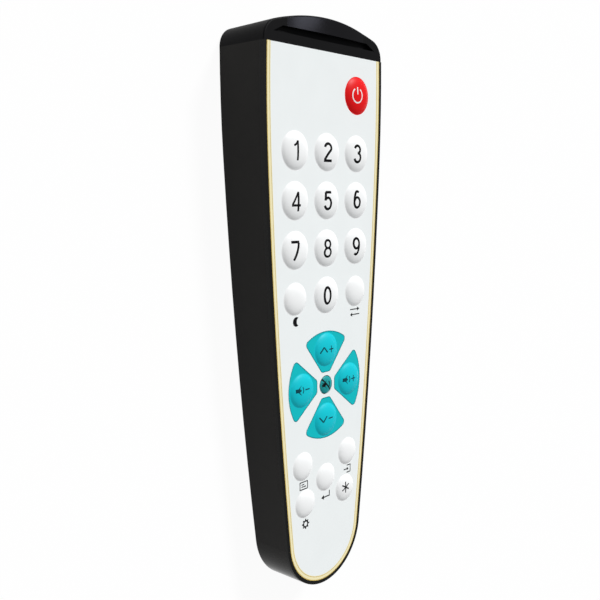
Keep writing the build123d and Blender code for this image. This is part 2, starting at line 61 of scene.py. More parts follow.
# The border's thin lines: where each starts and ends, measured in from the edge of the casing
OUTER_LINE, INNER_LINE_START, INNER_LINE_END = 0.35, 0.45, 0.25
BORDER_LINES = {
    "border_outer_line": (RIM, RIM + OUTER_LINE),
    "border_inner_line": (RIM + BORDER - INNER_LINE_START, RIM + BORDER - INNER_LINE_END),
}

# Keys: x, y and radius
ROW_ONE = 62.25
PITCH_X, PITCH_Y = 18.0, 18.4
ROW_FOUR = ROW_ONE - 3 * PITCH_Y
POWER_Y, NAV_Y = ROW_ONE + 22.7, ROW_ONE - 91.2
CAPTION_X, CAPTION_Y = 13.6, ROW_ONE - 121.7
SETUP_X, SETUP_Y = 12.2, ROW_ONE - 137.2
ENTER_Y = ROW_ONE - 129.4
RING = 14.2
NUMBER_RADIUS, SIDE_RADIUS, NAV_RADIUS, MUTE_RADIUS, SMALL_RADIUS = 7.1, 6.1, 6.6, 3.5, 5.55
KEYS = {
    "key_power": (PITCH_X, POWER_Y, NUMBER_RADIUS),
    "key_sleep": (-PITCH_X, ROW_FOUR, SIDE_RADIUS),
    "key_0": (0.0, ROW_FOUR, NUMBER_RADIUS),
    "key_previous": (PITCH_X, ROW_FOUR, SIDE_RADIUS),
    "key_channel_up": (0.0, NAV_Y + RING, NAV_RADIUS),
    "key_volume_up": (RING, NAV_Y, NAV_RADIUS),
    "key_channel_down": (0.0, NAV_Y - RING, NAV_RADIUS),
    "key_volume_down": (-RING, NAV_Y, NAV_RADIUS),
    "key_mute": (0.0, NAV_Y, MUTE_RADIUS),
    "key_caption": (-CAPTION_X, CAPTION_Y, SMALL_RADIUS),
    "key_source": (CAPTION_X, CAPTION_Y, SMALL_RADIUS),
    "key_enter": (0.0, ENTER_Y, SMALL_RADIUS),
    "key_setup": (-SETUP_X, SETUP_Y, SMALL_RADIUS),
    "key_star": (SETUP_X, SETUP_Y, SMALL_RADIUS),
}
for digit in range(1, 10):
    row, column = divmod(digit - 1, 3)
    place = ((column - 1) * PITCH_X, ROW_ONE - row * PITCH_Y, NUMBER_RADIUS)
    KEYS["key_%d" % digit] = place

# Direction pads, drawn along +X from the middle of the cross
PAD_REACH, PAD_HALF_ANGLE, PAD_TIP, PAD_ROUND = 21.7, 35.0, (5.1, 2.5), 1.7
PAD_EDGE = 0.38
PAD_CORNER_STEPS, PAD_END_STEPS = 8, 12
PAD_SEARCH, PAD_ROUNDS = 30.0, 40

# Dome of a key: its rise as a share of the radius, and how its profile is drawn
RISE_SHARE, FLAT_SHARE, RIM_SHARE, SHOULDER_SHARE = 0.21, 0.6, 0.86, 0.5
DOME_ROUNDS = 30
CLEARANCE = 0.3

# Skin over a key. It leaves the dome SKIN_START inside the key's edge, and lies SKIN_SINK under
# the face where it ends, SKIN_FOOT past the hole of the film
SKIN, SKIN_START, SKIN_SINK, SKIN_FOOT = 0.3, 0.30, 0.01, 0.3
SPOKES, RINGS_PER_MM, LEAST_RINGS = 64, 2.2, 8
BEND_RINGS, BEND_STEP = 7, 0.1

# Printed marks: how far they stand out, points across a stroke, and steps along one
INK, LABEL_INK, LINE_INK = 0.01, 0.015, 0.012
COLUMNS = 3
LINE_STEP, CURVE_STEP, LEAST_STEPS = 0.35, 0.3, 4
PEN, FIGURE_WIDTH = 1.02, 1.12

# AAA cells: y of the tip, then the places of the colours as shares of the length
CELL_LENGTH, LEFT_TIP, RIGHT_TIP = 44.5, 39.55, 89.05
WRAP_START_SHARE, BAND_END_SHARE, WRAP_END_SHARE = 0.036, 0.19, 0.975

# Camera, fitted to the key grid of the photograph. Its place and directions are against the face
SENSOR_WIDTH, LENS, CAMERA_SHIFT = 36.0, 48.28, (-0.00095, 0.00108)
CAMERA_PLACE = (-238.24, ROW_ONE - 16.24, 204.47)
CAMERA_FORWARD, CAMERA_UP = (0.73129, -0.13018, -0.66952), (0.09584, 0.99149, -0.08810)

# Stage, in metres, and how near and far the camera sees
FLOOR_HALF, FLOOR_DROP = 3.0, 0.0002
NEAR, FAR = 0.01, 20.0
FLOOR_GREYS, FLOOR_MOTTLE, FLOOR_GLOW_SHARE = (0.88, 0.92), 40.0, 0.95
WORLD_COLOUR, WORLD_STRENGTH = (0.98, 0.99, 1.0), 0.27


def deck_point(x, y, h):
    """A place on the face, h above it, in metres in the row frame."""
    return Vector((
        x * MM,
        (y * cos(SLOPE) - h * sin(SLOPE)) * MM,
        (MIDDLE + y * sin(SLOPE) + h * cos(SLOPE)) * MM,
    ))


def deck_turn(v):
    """A direction given against the face, turned into the row frame."""
    x, y, z = v
    return Vector((x, y * cos(SLOPE) - z * sin(SLOPE), y * sin(SLOPE) + z * cos(SLOPE)))


def add_object(name, data):
    made = bpy.data.objects.new(name, data)
    bpy.context.scene.collection.objects.link(made)
    return made


def halved(low, high, rounds, too_low):
    """The place between low and high where too_low stops being true, by halving."""
    for _ in range(rounds):
        middle = (low + high) / 2
        if too_low(middle):
            low = middle
        else:
            high = middle
    return middle


# Materials
WHITE, BLACK = (1, 1, 1, 1), (0, 0, 0, 1)


class Nodes:
    """Short hand for building a node tree. Inputs are values or the outputs of other nodes."""

    def __init__(self, owner):
        owner.use_nodes = True
        self.tree = owner.node_tree
        self.tree.nodes.clear()

    def add(self, kind, inputs=(), **settings):
        node = self.tree.nodes.new(kind)
        for key, value in settings.items():
            setattr(node, key, value)
        for key, value in dict(inputs).items():
            if isinstance(value, bpy.types.NodeSocket):
                self.tree.links.new(value, node.inputs[key])
            else:
                node.inputs[key].default_value = value
        return node

    def math(self, operation, a, b):
        return self.add("ShaderNodeMath", {0: a, 1: b}, operation=operation).outputs[0]


def rgba(colour, share=1.0):
    return tuple(min(1.0, c * share) for c in colour) + (1.0,)


def plastic(name, colour, rough, spread=0.06, grain=2600.0, bump=0.15, specular=0.5, coat=0.0,
            metallic=0.0, mottle=90.0, stretch=(1, 1, 1)):
    """Moulded or printed surface: soft mottling, uneven gloss and a fine grain in the normal."""
    gloss_spread, least_rough, coat_rough, grain_depth = 0.05, 0.02, 0.12, 0.00004
    material = bpy.data.materials.new(name)
    n = Nodes(material)
    place = n.add("ShaderNodeTexCoord")
    mapped = n.add("ShaderNodeMapping", {"Vector": place.outputs["Object"], "Scale": stretch})
    broad, fine = (
        n.add("ShaderNodeTexNoise", {"Vector": mapped.outputs[0], "Scale": scale, "Detail": detail})
        for scale, detail in ((mottle, 3.0), (grain, 2.0))
    )
    ramp = n.add("ShaderNodeValToRGB", {"Fac": broad.outputs["Fac"]})
    stops = ((0.25, 1 - spread), (0.75, 1 + spread))
    for element, (position, share) in zip(ramp.color_ramp.elements, stops):
        element.position = position
        element.color = rgba(colour, share)
    gloss = n.add("ShaderNodeMapRange", {
        "Value": fine.outputs["Fac"],
        "To Min": max(least_rough, rough - gloss_spread), "To Max": min(1.0, rough + gloss_spread),
    })
    lift = n.add("ShaderNodeBump", {
        "Height": fine.outputs["Fac"], "Strength": bump, "Distance": grain_depth,
    })
    shader = n.add("ShaderNodeBsdfPrincipled", {
        "Base Color": ramp.outputs[0], "Roughness": gloss.outputs[0], "Normal": lift.outputs[0],
        "Metallic": metallic, "Specular IOR Level": specular,
        "Coat Weight": coat, "Coat Roughness": coat_rough,
    })
    n.add("ShaderNodeOutputMaterial", {"Surface": shader.outputs[0]})
    return material


def cell_wrap(name, tip, direction):
    """Printed jacket on a steel cell: bare ends, a pale band by the nub, plain slate below."""
    steel, pale, slate = (0.55, 0.55, 0.56, 1), (0.62, 0.66, 0.66, 1), (0.03, 0.10, 0.13, 1)
    scuff_grain, shade_range, rough_range = 700.0, (0.85, 1.1), (0.22, 0.38)
    material = bpy.data.materials.new(name)
    n = Nodes(material)
    place = n.add("ShaderNodeTexCoord")
    parts = n.add("ShaderNodeSeparateXYZ", {"Vector": place.outputs["Object"]})
    along = n.add("ShaderNodeMapRange", {
        "Value": parts.outputs["Y"],
        "From Min": tip * MM, "From Max": (tip + direction * CELL_LENGTH) * MM,
    })
    ramps = []
    for stops in (
        ((0.0, steel), (WRAP_START_SHARE, pale), (BAND_END_SHARE, slate), (WRAP_END_SHARE, steel)),
        ((0.0, WHITE), (WRAP_START_SHARE, BLACK), (WRAP_END_SHARE, WHITE)),
    ):
        ramp = n.add("ShaderNodeValToRGB", {"Fac": along.outputs[0]})
        ramp.color_ramp.interpolation = "CONSTANT"
        while len(ramp.color_ramp.elements) < len(stops):
            ramp.color_ramp.elements.new(0.5)
        for element, (position, colour) in zip(ramp.color_ramp.elements, stops):
            element.position = position
            element.color = colour
        ramps.append(ramp.outputs[0])
    tone, metal = ramps
    scuffs = n.add("ShaderNodeTexNoise", {
        "Vector": place.outputs["Object"], "Scale": scuff_grain, "Detail": 3.0,
    })
    shade, gloss = (
        n.add("ShaderNodeMapRange", {"Value": scuffs.outputs["Fac"], "To Min": low, "To Max": high})
        for low, high in (shade_range, rough_range)
    )
    # A mix node's colour sockets: 0 is the factor, 6 and 7 what is mixed, 2 the result
    colour = n.add("ShaderNodeMix", {0: 1.0, 6: tone, 7: shade.outputs[0]},
                   data_type="RGBA", blend_type="MULTIPLY")
    shader = n.add("ShaderNodeBsdfPrincipled", {
        "Base Color": colour.outputs[2], "Roughness": gloss.outputs[0], "Metallic": metal,
    })
    n.add("ShaderNodeOutputMaterial", {"Surface": shader.outputs[0]})
    return material


# Base colour, roughness, mottling, and what differs from the usual plastic
LOOKS = {
    "shell_black": ((0.0128, 0.0120, 0.0108), 0.17, 0.10, {"bump": 0.10, "specular": 0.09}),
    "bezel_black": ((0.009, 0.009, 0.0085), 0.42, 0.08, {"specular": 0.12}),
    "cap_dark": ((0.006, 0.006, 0.0065), 0.50, 0.08, {"specular": 0.06}),
    "window_gloss": (
        (0.003, 0.0027, 0.004), 0.13, 0.08, {"bump": 0.04, "specular": 0.20, "coat": 0.1},
    ),
    "film_white": (
        (0.86, 0.893, 0.892), 0.58, 0.01, {"grain": 1800.0, "bump": 0.05, "specular": 0.10},
    ),
    # The keys are the same embossed sheet as the film. Their white is the film's white made
    # lighter, which is painted light on the domes
    "key_white": (
        (0.90, 0.91, 0.91), 0.42, 0.01, {"grain": 1800.0, "bump": 0.03, "specular": 0.15},
    ),
    "border_cream": ((0.88, 0.80, 0.50), 0.55, 0.03, {"bump": 0.05, "specular": 0.1}),
    "border_line": ((0.58, 0.43, 0.12), 0.55, 0.05, {"bump": 0.05, "specular": 0.1}),
    "pad_teal": ((0.004, 0.50, 0.54), 0.40, 0.03, {"bump": 0.04, "specular": 0.15}),
    "key_teal": ((0.003, 0.545, 0.635), 0.42, 0.02, {"bump": 0.03, "specular": 0.20}),
    "pad_edge": ((0.003, 0.24, 0.27), 0.42, 0.05, {"bump": 0.04, "specular": 0.15}),
    "key_slate": ((0.015, 0.31, 0.32), 0.40, 0.05, {"bump": 0.05, "specular": 0.15}),
    "key_red": ((0.80, 0.008, 0.010), 0.40, 0.03, {"bump": 0.03, "specular": 0.10}),
    "ink_dark": ((0.004, 0.004, 0.005), 0.45, 0.10, {"bump": 0.05, "specular": 0.1}),
    "ink_navy": ((0.004, 0.06, 0.08), 0.45, 0.10, {"bump": 0.05, "specular": 0.1}),
    "ink_white": ((0.88, 0.88, 0.88), 0.40, 0.02, {"bump": 0.05}),
    "mat_silicone": ((0.45, 0.45, 0.46), 0.75, 0.06, {"bump": 0.2}),
    "board_green": ((0.02, 0.16, 0.06), 0.35, 0.20, {"mottle": 400.0, "bump": 0.2}),
    "chip_black": ((0.02, 0.02, 0.02), 0.60, 0.10, {"bump": 0.3}),
    "metal_can": ((0.62, 0.62, 0.64), 0.28, 0.05, {"metallic": 1.0, "stretch": (1, 8, 1)}),
    "capacitor_sleeve": ((0.03, 0.05, 0.16), 0.35, 0.08, {}),
    "emitter_lens": ((0.05, 0.04, 0.10), 0.10, 0.05, {"bump": 0.02, "coat": 0.5}),
    "contact_nickel": ((0.66, 0.64, 0.58), 0.25, 0.06, {"metallic": 1.0, "stretch": (8, 1, 1)}),
    "screw_zinc": ((0.50, 0.51, 0.54), 0.35, 0.08, {"metallic": 1.0}),
}
looks = {
    name: plastic(name, colour, rough, spread, **others)
    for name, (colour, rough, spread, others) in LOOKS.items()
}
looks["cell_jacket_left"] = cell_wrap("cell_jacket_left", LEFT_TIP, 1)
looks["cell_jacket_right"] = cell_wrap("cell_jacket_right", RIGHT_TIP, -1)

# The mute key's stroke is longer than its dome is high, so it stays the stiff button of the CAD
STIFF_KEYS = ("key_mute",)
KEY_LOOKS = {
    "key_power": "key_red", "key_channel_up": "key_teal", "key_channel_down": "key_teal",
    "key_volume_up": "key_teal", "key_volume_down": "key_teal",
}
NODE_LOOKS = {
    "rear_shell": "shell_black", "battery_door": "shell_black", "front_shell": "bezel_black",
    "end_cap": "cap_dark", "ir_window": "window_gloss", "face_film": "film_white",
    "edge_border": "border_cream", "nav_pads": "pad_teal", "key_mute": "key_slate",
    "contact_mat": "mat_silicone", "circuit_board": "board_green",
    "controller_chip": "chip_black", "crystal": "metal_can", "capacitor": "capacitor_sleeve",
    "ir_emitter_left": "emitter_lens", "ir_emitter_right": "emitter_lens",
    "battery_left": "cell_jacket_left", "battery_right": "cell_jacket_right",
    "bridge_contact": "contact_nickel", "positive_contact": "contact_nickel",
    "negative_contact": "contact_nickel", "housing_screws": "screw_zinc",
}
for node, look in NODE_LOOKS.items():
    mesh = nodes[node].data
    mesh.materials.clear()
    mesh.materials.append(looks[look])


# Meshes
def new_piece(name, verts, faces, material, smooth=True):
    mesh = bpy.data.meshes.new(name)
    mesh.from_pydata([tuple(v) for v in verts], [], faces)
    mesh.validate()
    mesh.update()
    mesh.materials.append(material)
    if smooth:
        mesh.shade_smooth()
    return add_object(name, mesh)


def dome_height(radius):
    """Height of a key's skin by distance from its middle: the CAD dome, run out into the face."""
    rise = RISE_SHARE * radius
    start, end = radius - SKIN_START, radius + CLEARANCE

    def reach(t):
        """Distance from the middle on the dome's profile, a curve of third order in t."""
        share = 3 * (1 - t) ** 2 * t * FLAT_SHARE + 3 * (1 - t) * t * t * RIM_SHARE + t ** 3
        return share * radius

    def dome(r):
        t = halved(0.0, 1.0, DOME_ROUNDS, lambda t: reach(t) < r)
        bend = 3 * SHOULDER_SHARE * (1 - t) * t * t
        return rise * ((1 - t) ** 3 + 3 * (1 - t) ** 2 * t + bend)

    nudge = 0.02
    start_height = dome(start)
    start_slope = (dome(start) - dome(start - nudge)) / nudge

    def height(r):
        if r <= start:
            return dome(r)
        if r >= end:
            return -SKIN_SINK
        # From the dome's height and slope to level, just under the face
        span = end - start
        t = (r - start) / span
        value = (2 * t ** 3 - 3 * t ** 2 + 1) * start_height
        value += (t ** 3 - 2 * t ** 2 + t) * span * start_slope
        return value + (3 * t ** 2 - 2 * t ** 3) * -SKIN_SINK

    return height


def key_skin(name):
    """Sealed skin over one key, from its dome down to just under the face, past the hole of the
    film. it is part of the face at its foot and of the key at its top.
    """
    x, y, radius = KEYS[name]
    height = dome_height(radius)
    start = radius - SKIN_START
    steps = max(LEAST_RINGS, int(radius * RINGS_PER_MM))
    rings = [start * k / steps for k in range(1, steps)]
    rings += [start + BEND_STEP * k for k in range(BEND_RINGS)]
    rings.append(radius + CLEARANCE + SKIN_FOOT)
    verts, faces = [], []
    for sink in (0, SKIN):
        verts.append(deck_point(x, y, height(0) - sink))
        for r in rings:
            for k in range(SPOKES):
                a = 2 * pi * k / SPOKES
                verts.append(deck_point(x + r * cos(a), y + r * sin(a), height(r) - sink))
    base = len(verts) // 2
    last = 1 + (len(rings) - 1) * SPOKES
    for k in range(SPOKES):
        nxt = (k + 1) % SPOKES
        faces.append((0, 1 + k, 1 + nxt))
        faces.append((base, base + 1 + nxt, base + 1 + k))
        for ring in range(len(rings) - 1):
            a, b = 1 + ring * SPOKES, 1 + (ring + 1) * SPOKES
            faces.append((a + k, b + k, b + nxt, a + nxt))
            faces.append((base + a + nxt, base + b + nxt, base + b + k, base + a + k))
        faces.append((last + k, base + last + k, base + last + nxt, last + nxt))
    # White keys take the film's white made lighter, a painted light on the domes
    piece = new_piece(name + "_skin", verts, faces, looks[KEY_LOOKS.get(name, "key_white")])
    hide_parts(name)
    deck_point(x, y, height(0))
    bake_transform(piece)


# Printed marks. Each is a list of strips, and a strip is two lines of points with ink between
def line(*points):
    made = []
    for (ax, ay), (bx, by) in zip(points, points[1:]):
        count = max(1, int(hypot(bx - ax, by - ay) / LINE_STEP))
        for k in range(count):
            made.append((ax + (bx - ax) * k / count, ay + (by - ay) * k / count))
    made.append(points[-1])
    return made


def arc(cx, cy, rx, ry, start, end):
    count = max(LEAST_STEPS, int(abs(radians(end - start)) * max(rx, ry) / CURVE_STEP))
    made = []
    for k in range(count + 1):
        a = radians(start + (end - start) * k / count)
        made.append((cx + rx * cos(a), cy + ry * sin(a)))
    return made


def bow(p, q, sag):
    """Line from p to q that bows out to its left by sag."""
    (ax, ay), (bx, by) = p, q
    span = hypot(bx - ax, by - ay)
    nx, ny = -(by - ay) / span, (bx - ax) / span
    count = max(LEAST_STEPS, int(span / CURVE_STEP))
    made = []
    for k in range(count + 1):
        t = k / count
        lift = 4 * sag * t * (1 - t)
        made.append((ax + (bx - ax) * t + nx * lift, ay + (by - ay) * t + ny * lift))
    return made


def spoke(a, inner, outer):
    """Line along the ray at angle a, in radians, from the middle of a symbol."""
    return line((inner * cos(a), inner * sin(a)), (outer * cos(a), outer * sin(a)))


def stroke(points, width, closed=False):
    """Strip of constant width along a line of points."""
    left, right = [], []
    last = len(points) - 1
    for k, (x, y) in enumerate(points):
        before = points[k - 1] if k else (points[last - 1] if closed else points[0])
        after = points[k + 1] if k < last else (points[1] if closed else points[last])
        dx, dy = after[0] - before[0], after[1] - before[1]
        size = hypot(dx, dy)
        nx, ny = -dy / size * width / 2, dx / size * width / 2
        left.append((x + nx, y + ny))
        right.append((x - nx, y - ny))
    return left, right


def mark(name, strips, x, y, look, body, radius=None, shift=(0.0, 0.0), proud=INK, stiff=False):
    """One printed mark, around (x, y) plus shift, on a dome where a radius is given.

    It stays where it is drawn on a key that isn't stiff; otherwise it goes with its body."""
    height = dome_height(radius) if radius else (lambda r: 0.0)
    verts, faces = [], []
    for left, right in strips:
        first = len(verts)
        for lift in (proud, -proud):
            for (ax, ay), (bx, by) in zip(left, right):
                for c in range(COLUMNS):
                    t = c / (COLUMNS - 1)
                    px = ax + (bx - ax) * t + shift[0]
                    py = ay + (by - ay) * t + shift[1]
                    verts.append(deck_point(x + px, y + py, height(hypot(px, py)) + lift))
        rows = len(left)
        under = rows * COLUMNS

        def wall(a, step, flip):
            face = (a, a + under, a + under + step, a + step)
            faces.append(face[::-1] if flip else face)

        for k in range(rows - 1):
            for c in range(COLUMNS - 1):
                a = first + k * COLUMNS + c
                b = a + COLUMNS
                faces.append((a, b, b + 1, a + 1))
                faces.append((a + under, a + under + 1, b + under + 1, b + under))
            wall(first + k * COLUMNS, COLUMNS, False)
            wall(first + (k + 1) * COLUMNS - 1, COLUMNS, True)
        for k, flip in ((0, True), (rows - 1, False)):
            for c in range(COLUMNS - 1):
                wall(first + k * COLUMNS + c, 1, flip)
    piece = new_piece(name, verts, faces, looks[look], smooth=False)
    if radius and not stiff:
        deck_point(x, y, height(0) + proud)
        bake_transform(piece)
    else:
        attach(piece, body)


def reshaped(strips, across, along):
    """Strips made wider and taller, or turned where both shares are below zero."""
    return [
        tuple([(a * across, b * along) for a, b in side] for side in strip) for strip in strips
    ]


# Plain upright figures, about 7.2 tall
FIGURES = {
    0: [stroke(arc(0, 0, 1.55, 3.16, 0, 360), PEN, closed=True)],
    1: [
        stroke(line((0.45, -3.62), (0.45, 3.62)), 0.88 * PEN),
        stroke(bow((0.35, 3.25), (-1.35, 1.75), 0.25), 0.75 * PEN),
    ],
    2: [
        stroke(arc(0, 1.65, 1.55, 1.57, 172, -28) + bow((1.30, 0.75), (-1.62, -2.95), -0.22)[1:],
               PEN),
        stroke(line((-1.95, -3.22), (1.95, -3.22)), PEN),
    ],
    3: [
        stroke(arc(-0.05, 1.75, 1.40, 1.47, 165, -90), PEN),
        stroke(arc(-0.05, -1.45, 1.60, 1.77, 92, -165), PEN),
    ],
    4: [
        stroke(line((0.85, 3.35), (-1.75, -1.15)), 0.8 * PEN),
        stroke(line((-2.1, -1.40), (2.1, -1.40)), 0.85 * PEN),
        stroke(line((0.95, -3.62), (0.95, 3.62)), 0.92 * PEN),
    ],
    5: [
        stroke(line((-1.15, 3.22), (1.75, 3.22)), PEN),
        stroke(line((-1.00, 3.22), (-1.35, 0.05)), PEN),
        stroke(arc(-0.05, -1.05, 1.62, 2.17, 143, -158), PEN),
    ],
    6: [
        stroke(arc(0, -1.2, 1.5, 2.02, 0, 360), PEN, closed=True),
        stroke(arc(0.15, -0.9, 1.65, 4.12, 180, 62), PEN),
    ],
    7: [
        stroke(line((-1.85, 3.22), (1.85, 3.22)), PEN),
        stroke(bow((1.55, 2.95), (-0.65, -3.62), 0.35), PEN),
    ],
    8: [
        stroke(arc(0, 1.68, 1.35, 1.54, 0, 360), 0.88 * PEN, closed=True),
        stroke(arc(0, -1.52, 1.60, 1.70, 0, 360), 0.88 * PEN, closed=True),
    ],
}
FIGURES[9] = reshaped(FIGURES[6], -1, -1)

# The figures are printed a little left of the middle of their keys
FIGURE_SHIFT = (-0.75, 0.0)
FIGURE_SHIFTS = {
    1: (-0.35, 0.0), 4: (-0.65, -0.25), 6: (-0.8, 0.4), 7: (-1.1, 0.0), 9: (-1.05, 0.0),
}


# Symbols, drawn in shares of their size
def minus(x, y, size, pen):
    return [stroke(line((x - size, y), (x + size, y)), pen)]


def plus(x, y, size, pen):
    return minus(x, y, size, pen) + [stroke(line((x, y - size), (x, y + size)), pen)]


def chevron(x, y, size, pen, up=True):
    tip = size * 0.55 if up else -size * 0.55
    return [
        stroke(line((x - size, y - tip), (x, y + tip)), pen),
        stroke(line((x, y + tip), (x + size, y - tip)), pen),
    ]


def speaker(x, y, size):
    """Loudspeaker seen from the side, facing right."""
    neck, mouth = 0.35 * size, 0.95 * size
    box = (line((x - size, y + neck), (x - neck, y + neck)),
           line((x - size, y - neck), (x - neck, y - neck)))
    horn = (line((x - neck, y + neck), (x + neck, y + mouth)),
            line((x - neck, y - neck), (x + neck, y - mouth)))
    wave = stroke(arc(x + 0.3 * size, y, 0.62 * size, 0.75 * size, -50, 50), 0.22 * size)
    return [box, horn, wave]


def crossed_speaker(size, pen):
    bar = stroke(line((-size, size * 0.9), (size * 0.9, -size)), pen)
    return speaker(-0.25 * size, 0, size * 0.85) + [bar]


def arrow_head(x, y, angle, size):
    """Filled triangle whose tip is at (x, y)."""
    a = radians(angle)
    bx, by = x - size * 1.3 * cos(a), y - size * 1.3 * sin(a)
    nx, ny = -sin(a) * size * 0.8, cos(a) * size * 0.8
    return line((bx + nx, by + ny), (x, y)), line((bx - nx, by - ny), (x, y))


def moon(size):
    """Crescent: a circle open at the right, and the arc that bites into it."""
    gap = 50
    outer = arc(0, 0, size, size, gap, 360 - gap)
    reach, drop = size * cos(radians(gap)), size * sin(radians(gap))
    centre = reach + size * 0.28
    radius = hypot(reach - centre, drop)
    half = 180 - atan2(drop, centre - reach) * 180 / pi
    count = len(outer) - 1
    bite = []
    for k in range(count + 1):
        a = radians(half + (360 - 2 * half) * k / count)
        bite.append((centre + radius * cos(a), radius * sin(a)))
    return [(outer, bite)]


def gear(size):
    ring = stroke(arc(0, 0, size * 0.62, size * 0.62, 0, 360), size * 0.34, closed=True)
    return [ring] + [
        stroke(spoke(pi * k / 4, size * 0.70, size * 1.05), size * 0.30) for k in range(8)
    ]


def star(size, pen):
    return [stroke(spoke(pi / 2 + pi * k / 3, -size, size), pen) for k in range(3)]


def caption_box(size, pen):
    """Box with two lines of text in it."""
    w, h = size, size * 0.68
    return [
        stroke(line((-w, -h), (w, -h), (w, h), (-w, h)), pen),
        stroke(line((-w, h + pen / 2), (-w, -h - pen / 2)), pen),
        stroke(line((-w * 0.6, -h * 0.30), (w * 0.6, -h * 0.30)), pen),
        stroke(line((-w * 0.6, h * 0.30), (w * 0.15, h * 0.30)), pen),
    ]


def source_box(size, pen):
    """Arrow going into an open box."""
    w, h = size, size * 0.72
    return [
        stroke(line((-w * 0.1, h), (w, h)), pen),
        stroke(line((w, h + pen / 2), (w, -h - pen / 2)), pen),
        stroke(line((-w * 0.1, -h), (w, -h)), pen),
        stroke(line((-w, 0), (w * 0.1, 0)), pen),
        arrow_head(w * 0.5, 0, 0, size * 0.42),
    ]


def return_arrow(size, pen):
    return [
        stroke(line((size, size * 0.75), (size, -size * 0.15)), pen),
        stroke(line((size + pen / 2, -size * 0.15), (-size * 0.4, -size * 0.15)), pen),
        arrow_head(-size, -size * 0.15, 180, size * 0.5),
    ]


def swap_arrows(size, pen):
    """Two opposite arrows, one above the other."""
    strips = []
    for side in (1, -1):
        y = side * size * 0.36
        strips.append(stroke(line((-side * size, y), (side * size * 0.6, y)), pen))
        strips.append(arrow_head(side * size, y, 90 - side * 90, size * 0.36))
    return strips


def power_symbol(size, pen):
    return [
        stroke(arc(0, 0, size, size, 122, 418), pen),
        stroke(line((0, size * 0.15), (0, size * 1.15)), pen),
    ]


# On the keys: strips, ink and shift. The signs stand to the right of their symbols
SIGN = (1.35, 0.5)
SYMBOLS = {
    "key_power": (power_symbol(2.8, 0.55), "ink_white", (-1.1, 0.0)),
    "key_channel_up": (
        chevron(-1.7, 0, 2.0, 0.6) + plus(2.6, 0, *SIGN), "ink_navy", (-0.8, 0.2),
    ),
    "key_channel_down": (
        chevron(-1.7, 0, 2.0, 0.6, up=False) + minus(2.6, 0, *SIGN), "ink_navy", (-1.0, 0.55),
    ),
    "key_volume_up": (speaker(-1.7, 0, 2.1) + plus(2.5, 0, *SIGN), "ink_navy", (-0.9, 0.2)),
    "key_volume_down": (speaker(-1.7, 0, 2.1) + minus(2.5, 0, *SIGN), "ink_navy", (-0.6, 0.6)),
    "key_mute": (crossed_speaker(2.6, 0.65), "ink_dark", (0.1, 0.2)),
    "key_star": (star(2.35, 0.6), "ink_dark", (-0.5, 0.5)),
}

# Under the keys: strips, and the place from the middle of key 2
LABELS = {
    "label_sleep": (moon(1.85), -17.3, -63.9),
    "label_previous": (swap_arrows(3.0, 0.42), 18.0, -63.7),
    "label_caption": (caption_box(2.2, 0.40), -13.0, -129.5),
    "label_enter": (return_arrow(2.5, 0.5), 0.0, -137.4),
    "label_source": (source_box(2.1, 0.42), 13.8, -129.5),
    "label_setup": (gear(2.0), -11.9, -145.6),
}


def half_outline(inset):
    """Outline of the casing moved in by inset, from the tail's middle up to the cap line."""
    lean, shoulder = radians(LEAN), radians(SHOULDER_ANGLE)
    tail_radius = (
        WIDTH / 2
        - SHOULDER_RADIUS * (1 - cos(shoulder))
        - FLANK_RADIUS * (cos(shoulder) - cos(lean))
    ) / cos(lean)
    x, y, heading = 0.0, -LENGTH / 2 + inset, 0.0
    points = [(x, y)]
    for radius, sweep, count in (
        (tail_radius - inset, 90 - LEAN, TAIL_STEPS),
        (FLANK_RADIUS - inset, LEAN - SHOULDER_ANGLE, FLANK_STEPS),
        (SHOULDER_RADIUS - inset, SHOULDER_SWEEP, SHOULDER_STEPS),
    ):
        cx, cy = x - radius * sin(heading), y + radius * cos(heading)
        begin = heading
        for k in range(1, count + 1):
            heading = begin + radians(sweep) * k / count
            px, py = cx + radius * sin(heading), cy - radius * cos(heading)
            if py > CAP_LINE:
                ax, ay = points[-1]
                share = (CAP_LINE - ay) / (py - ay)
                points.append((ax + (px - ax) * share, CAP_LINE))
                return points
            points.append((px, py))
        x, y = points[-1]
    return points


def edge_line(name, outer, inner):
    """Thin line along the border, from one side of the cap line round the tail to the other."""
    outlines = [half_outline(inset) for inset in (inner, outer)]
    count = min(len(points) for points in outlines)
    strip = []
    for points in outlines:
        points = points[:count]
        points[-1] = (points[-1][0], CAP_LINE)
        strip.append([(-x, y) for x, y in reversed(points[1:])] + points)
    mark(name, [strip], 0, 0, "border_line", "housing", proud=LINE_INK)


def pad_outline(inset):
    """Outline of one direction pad along +X, moved in by inset, its corners rounded."""
    half_angle = radians(PAD_HALF_ANGLE)
    tip_x, tip_y = PAD_TIP
    run, climb = PAD_REACH * cos(half_angle) - tip_x, PAD_REACH * sin(half_angle) - tip_y
    side = Vector((run, climb)).normalized()
    out = Vector((-side.y, side.x))
    # Middle of the tip's corner circle, and of the outer corner's
    base = Vector((tip_x, tip_y)) - out * PAD_ROUND
    tip = base + side * ((tip_x + PAD_ROUND - base.x) / side.x)
    centre_reach = PAD_REACH - PAD_ROUND
    along = halved(0.0, PAD_SEARCH, PAD_ROUNDS, lambda s: (base + side * s).length < centre_reach)
    corner = base + side * along
    turn = PAD_ROUND - inset
    points = [(tip.x - turn, 0.0)]
    flank, last = atan2(out.y, out.x), atan2(corner.y, corner.x)
    for centre, begin, end in ((tip, pi, flank), (corner, flank, last)):
        for k in range(PAD_CORNER_STEPS + 1):
            a = begin + (end - begin) * k / PAD_CORNER_STEPS
            points.append((centre.x + turn * cos(a), centre.y + turn * sin(a)))
    for k in range(1, PAD_END_STEPS + 1):
        a = last * (1 - k / PAD_END_STEPS)
        points.append(((PAD_REACH - inset) * cos(a), (PAD_REACH - inset) * sin(a)))
    return points + [(x, -y) for x, y in reversed(points[:-1])]


for name in KEYS:
    if name not in STIFF_KEYS:
        key_skin(name)

